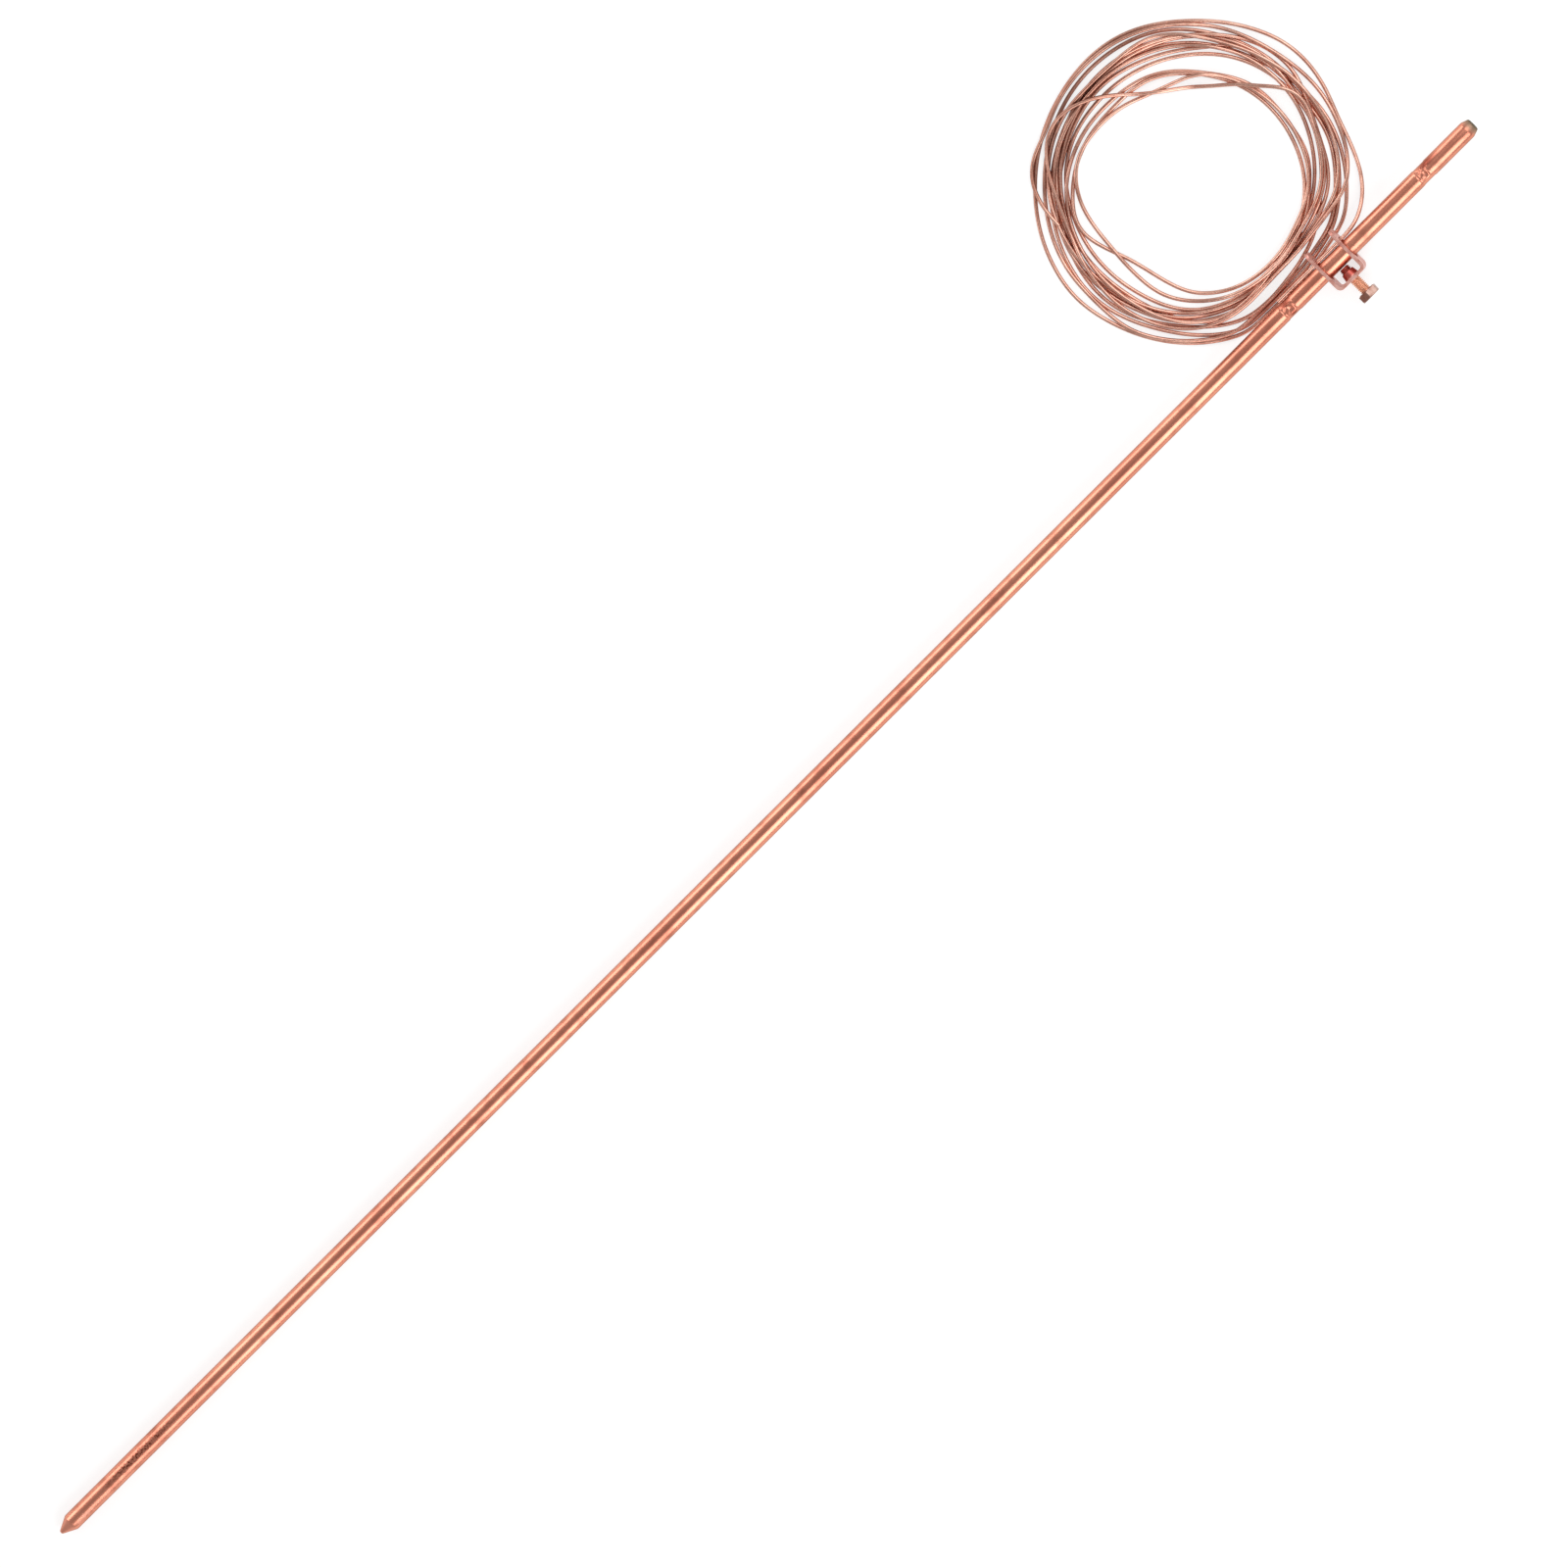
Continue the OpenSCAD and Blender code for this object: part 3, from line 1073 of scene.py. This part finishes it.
    def put_marks(self, mesh: bpy.types.Mesh, points: np.ndarray) -> None:
        """Marks the dull point, the cut top end, the places that were handled, and patches of
        painted shade.

        Args:
            mesh: mesh of the rod.
            points: its points in the rod's own frame.
        """
        along, sideways, up = points.T
        from_end = self.length - along
        cone = rise(self.point_length - along, self.dull_edge)
        chamfer = rise(self.chamfer_length - from_end, self.ground_edge)
        dimples = sum(punch.relief(along, sideways)[1] for punch in self.punches) * (up > 0)
        put_mark(mesh, "dulled", np.maximum(cone, dimples))
        put_mark(mesh, "ground", chamfer)
        put_mark(mesh, "sheared", rise(-from_end, self.sheared_edge))
        rubbed, scuffed, shade_patched = (
            sum(hump((along - x) / dx) * hump((sideways - y) / dy) for x, y, dx, dy in patches)
            * (up > 0)
            for patches in (self.rubs, self.scuffs, self.shade_patches)
        )
        put_mark(mesh, "rubbed", rubbed)
        in_dimples, in_scuffs, in_shade_patches = self.soil_and_shade
        put_mark(mesh, "handled", np.maximum(in_dimples * dimples, in_scuffs * scuffed))
        # Painted shade in the even patches by the stop marks.
        put_mark(mesh, "painted_shade_patch", in_shade_patches * shade_patched)

    def dress(self, axis: RodAxis) -> bpy.types.Object:
        """Builds the rod as rings round its axis: radius and relief by distance and angle.

        Args:
            axis: the rod's own frame.

        Returns:
            The rod.
        """
        along, radius = self.profile()
        angle = np.linspace(0, 2 * math.pi, self.columns, endpoint=False)
        sideways = radius[:, None] * np.cos(angle)
        radius = radius[:, None] + self.stop_relief(along[:, None], sideways, np.sin(angle) > 0)
        station = np.broadcast_to(along[:, None], radius.shape)
        rings = np.stack([station, radius * np.cos(angle), radius * np.sin(angle)], axis=-1)
        points, faces = skin(rings)
        rod = make_piece("earth_rod", axis.place(points), faces)
        self.put_marks(rod.data, points)
        rod.data.materials.append(DRAWN_COPPER_COAT.build())
        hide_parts("rod")
        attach(rod, Body.ROD.value)
        LOG.info("rod: %d rings", len(along))
        return rod


@dataclass
class ClampBracket:
    """Folded strip that the rod and the lead's end pass through.

    Attributes:
        edge: width of the rounding on its stamped edges.
        weld: distance within which the CAD mesh's points are one.
        flat_within: angle within which its triangles are one face, in degrees.
        fold_from: angle past which an edge is a stamped one, in degrees.
        station: distance from the rod's point to the bolt's axis.
        collar_radius: radius round that axis in which the collar lies.
        collar: reach of the collar, from the rod's axis.
    """

    edge: float = 0.25
    weld: float = 0.002
    flat_within: float = 0.3
    fold_from: float = 30.0
    station: float = CLAMP_STATION
    collar_radius: float = 6.5
    collar: tuple[float, float] = (-10.9, -6.5)

    def dress(self, node: bpy.types.Object, axis: RodAxis) -> bpy.types.Object:
        """Copies the CAD bracket, joins its triangles, rounds its edges and marks its collar,
        which carries a painted red reflection and shade.

        Args:
            node: CAD node of the bracket.
            axis: the rod's own frame.

        Returns:
            The bracket.
        """
        form = bmesh.new()
        form.from_mesh(node.data)
        bmesh.ops.remove_doubles(form, verts=form.verts, dist=self.weld * MM)
        flat = math.radians(self.flat_within)
        bmesh.ops.dissolve_limit(form, angle_limit=flat, verts=form.verts, edges=form.edges)
        mesh = bpy.data.meshes.new("folded_bracket")
        form.to_mesh(mesh)
        form.free()
        mesh.shade_smooth()
        mesh.set_sharp_from_angle(angle=math.radians(self.fold_from))
        bracket = stand(mesh)
        rounding = bracket.modifiers.new("stamped_edges", "BEVEL")
        rounding.width = self.edge * MM
        rounding.segments = 3
        rounding.limit_method = "ANGLE"
        rounding.angle_limit = math.radians(self.fold_from)
        places = np.empty(3 * len(mesh.vertices))
        mesh.vertices.foreach_get("co", places)
        along, sideways, up = axis.measure(places.reshape(-1, 3)).T
        # The collar's points carry the painted red reflection and shade.
        collar = np.hypot(along - self.station, up) < self.collar_radius
        collar &= (sideways > self.collar[0]) & (sideways < self.collar[1])
        put_mark(mesh, "drawn", collar)
        bracket.data.materials.append(SATIN_COPPER_PLATE.build())
        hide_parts("clamp_bracket")
        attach(bracket, Body.CLAMP.value)
        LOG.info("bracket: %d points", len(mesh.vertices))
        return bracket


@dataclass
class ClampBolt:
    """Hex-head machine bolt that clamps the lead against the rod.

    Attributes:
        station: distance from the rod's point to the bolt's axis.
        tip: distance from the rod's axis to the bolt's tip.
        tip_chamfer: length of the chamfer at the tip.
        thread_radius: radius of the thread's crests.
        thread_depth: depth of the thread.
        pitch: pitch of the thread.
        flank: steepness of the thread's flanks.
        root: how far the thread's roots are flat.
        under_head: distance from the rod's axis to the underside of the head.
        head_height: height of the head.
        across_flats: distance across the flats of the head.
        corner_radius: radius of the head at its slightly rounded corners.
        chamfer_drop: depth of the head's chamfer at its corners.
        washer_radius: radius of the washer face.
        washer_height: height of the washer face.
        break_edge: size of the broken edges of the washer face and of the chamfer.
        under_edge: size of the broken edge under the head.
        hair: hair's breadth that keeps edges apart.
        crown: outline of the top, from its height, with radii as shares of half the flats.
        shade_most: largest share of painted shade on the head's side towards the rod's point.
        red_length: length of the painted red reflection at the tip.
        columns: points round the bolt.
        rings_per_pitch: rings in one pitch of the thread.
    """

    station: float = CLAMP_STATION
    tip: float = 5.0625
    tip_chamfer: float = 0.8
    thread_radius: float = 2.95
    thread_depth: float = 0.58
    pitch: float = 1.0
    flank: float = 1.6
    root: float = 0.3
    under_head: float = 21.3
    head_height: float = 3.9
    across_flats: float = 10.0
    corner_radius: float = 5.72
    chamfer_drop: float = 0.8
    washer_radius: float = 4.5
    washer_height: float = 0.3
    break_edge: float = 0.1
    under_edge: float = 0.12
    hair: float = 0.02
    crown: Pairs = ((-0.06, 0.97), (0.0, 0.92), (-0.12, 0.6))
    shade_most: float = 0.7
    red_length: float = 4.0
    columns: int = 96
    rings_per_pitch: int = 10

    def shank(self, angle: np.ndarray) -> tuple[np.ndarray, np.ndarray]:
        """Rings of the threaded shank.

        The radius falls from crest to root and back once in each pitch, with flats on both,
        and its phase goes once round with the angle. It is cut down to a cone at the tip.

        Args:
            angle: angle of each column.

        Returns:
            Distance out and radius of each point.
        """
        stop = self.under_head - self.washer_height
        out = np.arange(self.tip, stop, self.pitch / self.rings_per_pitch)
        phase = (out[:, None] / self.pitch - angle / (2 * math.pi)) % 1.0
        crest = np.clip(np.abs(2 * phase - 1) * self.flank - self.root, 0, 1)
        radius = self.thread_radius - self.thread_depth * (1 - crest)
        cone = self.thread_radius - self.tip_chamfer + (out - self.tip)
        return np.broadcast_to(out[:, None], radius.shape), np.minimum(radius, cone[:, None])

    def head(self, angle: np.ndarray) -> tuple[np.ndarray, np.ndarray]:
        """Rings of the washer face and the head.

        The head's radius is half the flats over the cosine of the angle from the nearest
        flat, held at the rounded corners. Its outer edge drops with that radius, as the
        chamfer's cone cuts it.

        Args:
            angle: angle of each column.

        Returns:
            Distance out and radius of each point.
        """
        flat = self.across_flats / 2
        off_flat = (angle + math.pi / 6) % (math.pi / 3) - math.pi / 6
        hexagon = np.minimum(flat / np.cos(off_flat), self.corner_radius)
        top = self.under_head + self.head_height
        drop = self.chamfer_drop * (hexagon - flat) / (self.corner_radius - flat)
        level = np.ones_like(angle)
        washer = self.washer_radius * level
        face = self.under_head - self.washer_height
        edge = self.break_edge
        rings = [
            (face, self.thread_radius * level),
            (face, washer - edge),
            (face + edge, washer),
            (self.under_head, washer),
            (self.under_head, hexagon - self.under_edge),
            (self.under_head + self.under_edge, hexagon),
            (top - drop - edge, hexagon),
            (top - drop + self.hair, hexagon - edge),
            *((top + height, flat * share * level) for height, share in self.crown),
        ]
        out = np.stack([ring[0] * level for ring in rings])
        radius = np.stack([ring[1] for ring in rings])
        return out, radius

    def dress(self, axis: RodAxis) -> bpy.types.Object:
        """Builds the bolt as rings round its own axis, which points away from the coil.

        Args:
            axis: the rod's own frame.

        Returns:
            The bolt.
        """
        angle = np.linspace(0, 2 * math.pi, self.columns, endpoint=False)
        parts = [self.shank(angle), self.head(angle)]
        out = np.concatenate([part[0] for part in parts])
        radius = np.concatenate([part[1] for part in parts])
        rings = np.stack(
            [self.station + radius * np.cos(angle), -out, radius * np.sin(angle)], axis=-1
        )
        points, faces = skin(rings)
        bolt = make_piece("clamp_screw", axis.place(points), faces, sharp_from=28)
        along, sideways, up = points.T
        on_head = -sideways > self.under_head - self.washer_height - self.hair
        put_mark(bolt.data, "rolled", ~on_head)
        # Painted shade on the head's side towards the rod's point.
        put_mark(bolt.data, "shaded", on_head * np.clip(self.station - along, 0, self.shade_most))
        # Painted red reflection at the tip, inside the collar.
        put_mark(bolt.data, "painted_tip_reflection", self.tip + self.red_length + sideways)
        bolt.data.materials.append(PLATED_BOLT_COPPER.build())
        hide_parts("clamp_bolt")
        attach(bolt, Body.BOLT.value)
        LOG.info("bolt: %d rings", len(out))
        return bolt


@dataclass(frozen=True)
class Softbox:
    """A soft panel light.

    Attributes:
        name: name of the light.
        place: its middle, in metres.
        aim: point that it faces, in metres.
        width: its width in metres.
        height: its height in metres.
        roll: its turn about the line to its aim, in degrees.
        brightness: brightness of its face, where a white surface in full light is 1.
    """

    name: str
    place: tuple[float, float, float]
    aim: tuple[float, float, float]
    width: float
    height: float
    roll: float
    brightness: float

    def build(self) -> bpy.types.Object:
        """Makes the light and turns it to its aim.

        Returns:
            The light.
        """
        lamp = bpy.data.lights.new(self.name, "AREA")
        lamp.shape = "RECTANGLE"
        lamp.size = self.width
        lamp.size_y = self.height
        lamp.energy = self.brightness * math.pi * self.width * self.height
        light = stand(lamp)
        back = (Vector(self.place) - Vector(self.aim)).normalized()
        turn = back.to_track_quat("Z", "Y").to_matrix().to_4x4()
        roll = Matrix.Rotation(math.radians(self.roll), 4, "Z")
        light.matrix_world = Matrix.Translation(self.place) @ turn @ roll
        return light


@dataclass
class Studio:
    """Pale floor, soft light and the camera.

    Attributes:
        floor_size: width of the floor in metres.
        floor_colour: colour of the floor.
        floor_glow: part of the floor's white that doesn't depend on the lamps.
        room: brightness of the dim room round the object.
        ceiling: brightness of the room straight above.
        ceiling_from: upward share of a direction at which the ceiling starts and is darkest.
        softboxes: the lamps.
        aim: point of the row frame at the middle of the picture.
        lean: angle between the view and the vertical, towards the rod's top end, in degrees.
        roll: turn of the camera about its view, in degrees.
        distance: distance from the aim to the camera, in metres.
        lens: focal length on a 36 mm sensor.
    """

    floor_size: float = 60.0
    floor_colour: str = "#a2a2a2"
    floor_glow: float = 0.71
    room: float = 0.47
    ceiling: float = 0.31
    ceiling_from: tuple[float, float] = (0.91, 0.99)
    softboxes: tuple[Softbox, ...] = (
        Softbox("key_softbox", (-0.1, -0.995, 0.837), (-0.1, 0.0, 0.0), 1.36, 0.98, 15.0, 2.7),
        Softbox("low_softbox", (-0.2, 1.18, 0.5), (0.37, 0.0, 0.5), 1.9, 0.68, 5.0, 2.1),
        Softbox("end_softbox", (1.12, 0.25, 1.05), (0.42, 0.08, 0.0), 1.1, 1.2, 0.0, 1.7),
    )
    aim: tuple[float, float, float] = (0.02682, 0.01587, 0.005)
    lean: float = 9.0
    roll: float = 44.94
    distance: float = 8.0
    lens: float = 365.6

    def lay_floor(self) -> None:
        """Lays a pale floor. The camera and reflections see it near white, with shadows."""
        corners = np.array([(-1, -1, 0), (1, -1, 0), (1, 1, 0), (-1, 1, 0)])
        floor = make_piece("studio_floor", corners * self.floor_size / 2, [[0, 1, 2, 3]])
        material = bpy.data.materials.new("pale_floor")
        tree = blank_tree(material)
        ray = add_node(tree, "ShaderNodeLightPath")
        seen = ray.outputs["Is Camera Ray"]
        for kind in ("Is Glossy Ray", "Is Transmission Ray"):
            either = add_node(
                tree,
                "ShaderNodeMath",
                {"operation": "MAXIMUM"},
                {0: seen, 1: ray.outputs[kind]},
            )
            seen = either.outputs[0]
        glow = add_node(
            tree, "ShaderNodeMath", {"operation": "MULTIPLY", 1: self.floor_glow}, {0: seen}
        )
        white = add_node(tree, "ShaderNodeEmission", links={"Strength": glow.outputs[0]})
        paint = add_node(tree, "ShaderNodeBsdfDiffuse", {"Color": linear(self.floor_colour)})
        lit = {0: white.outputs[0], 1: paint.outputs[0]}
        both = add_node(tree, "ShaderNodeAddShader", links=lit)
        add_node(tree, "ShaderNodeOutputMaterial", links={"Surface": both.outputs[0]})
        floor.data.materials.append(material)

    def light_room(self) -> None:
        """Sets the dim room, darker at the ceiling, and hangs the softboxes."""
        world = bpy.data.worlds.new("dim_room")
        tree = blank_tree(world)
        way = add_node(tree, "ShaderNodeTexCoord")
        parts = add_node(tree, "ShaderNodeSeparateXYZ", links={0: way.outputs["Generated"]})
        start, darkest = self.ceiling_from
        strength = add_node(
            tree,
            "ShaderNodeMapRange",
            {"From Min": start, "From Max": darkest, "To Min": self.room, "To Max": self.ceiling},
            {"Value": parts.outputs[2]},
        )
        background = add_node(
            tree,
            "ShaderNodeBackground",
            {"Color": (1.0, 1.0, 1.0, 1.0)},
            {"Strength": strength.outputs["Result"]},
        )
        add_node(tree, "ShaderNodeOutputWorld", links={"Surface": background.outputs[0]})
        bpy.context.scene.world = world
        for softbox in self.softboxes:
            softbox.build()

    def set_camera(self) -> None:
        """Sets the camera high over the rod, leaning to its top end, the rod on the diagonal."""
        lean = math.radians(self.lean)
        roll = math.radians(self.roll)
        back = Vector((math.sin(lean), 0.0, math.cos(lean)))
        along = Vector((math.cos(lean), 0.0, -math.sin(lean)))
        sideways = Vector((0.0, 1.0, 0.0))
        right = along * math.cos(roll) - sideways * math.sin(roll)
        up = along * math.sin(roll) + sideways * math.cos(roll)
        lens = bpy.data.cameras.new("photo_view")
        lens.sensor_width = 36.0
        lens.lens = self.lens
        lens.clip_end = 100.0
        camera = stand(lens)
        turn = Matrix((right, up, back)).transposed().to_4x4()
        camera.matrix_world = Matrix.Translation(Vector(self.aim) + back * self.distance) @ turn
        bpy.context.scene.camera = camera

    def build(self) -> None:
        """Sets up the whole studio."""
        bpy.context.scene.view_settings.view_transform = "Standard"
        self.lay_floor()
        self.light_room()
        self.set_camera()


def main() -> None:
    """Loads the frame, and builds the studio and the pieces."""
    logging.basicConfig(level=logging.INFO, format="%(message)s")
    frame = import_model()
    axis = RodAxis.from_record(frame["record"])
    Studio().build()
    EarthLead().dress(axis)
    Rod().dress(axis)
    ClampBracket().dress(frame["nodes"]["clamp_bracket"], axis)
    ClampBolt().dress(axis)


if __name__ == "__main__":
    main()
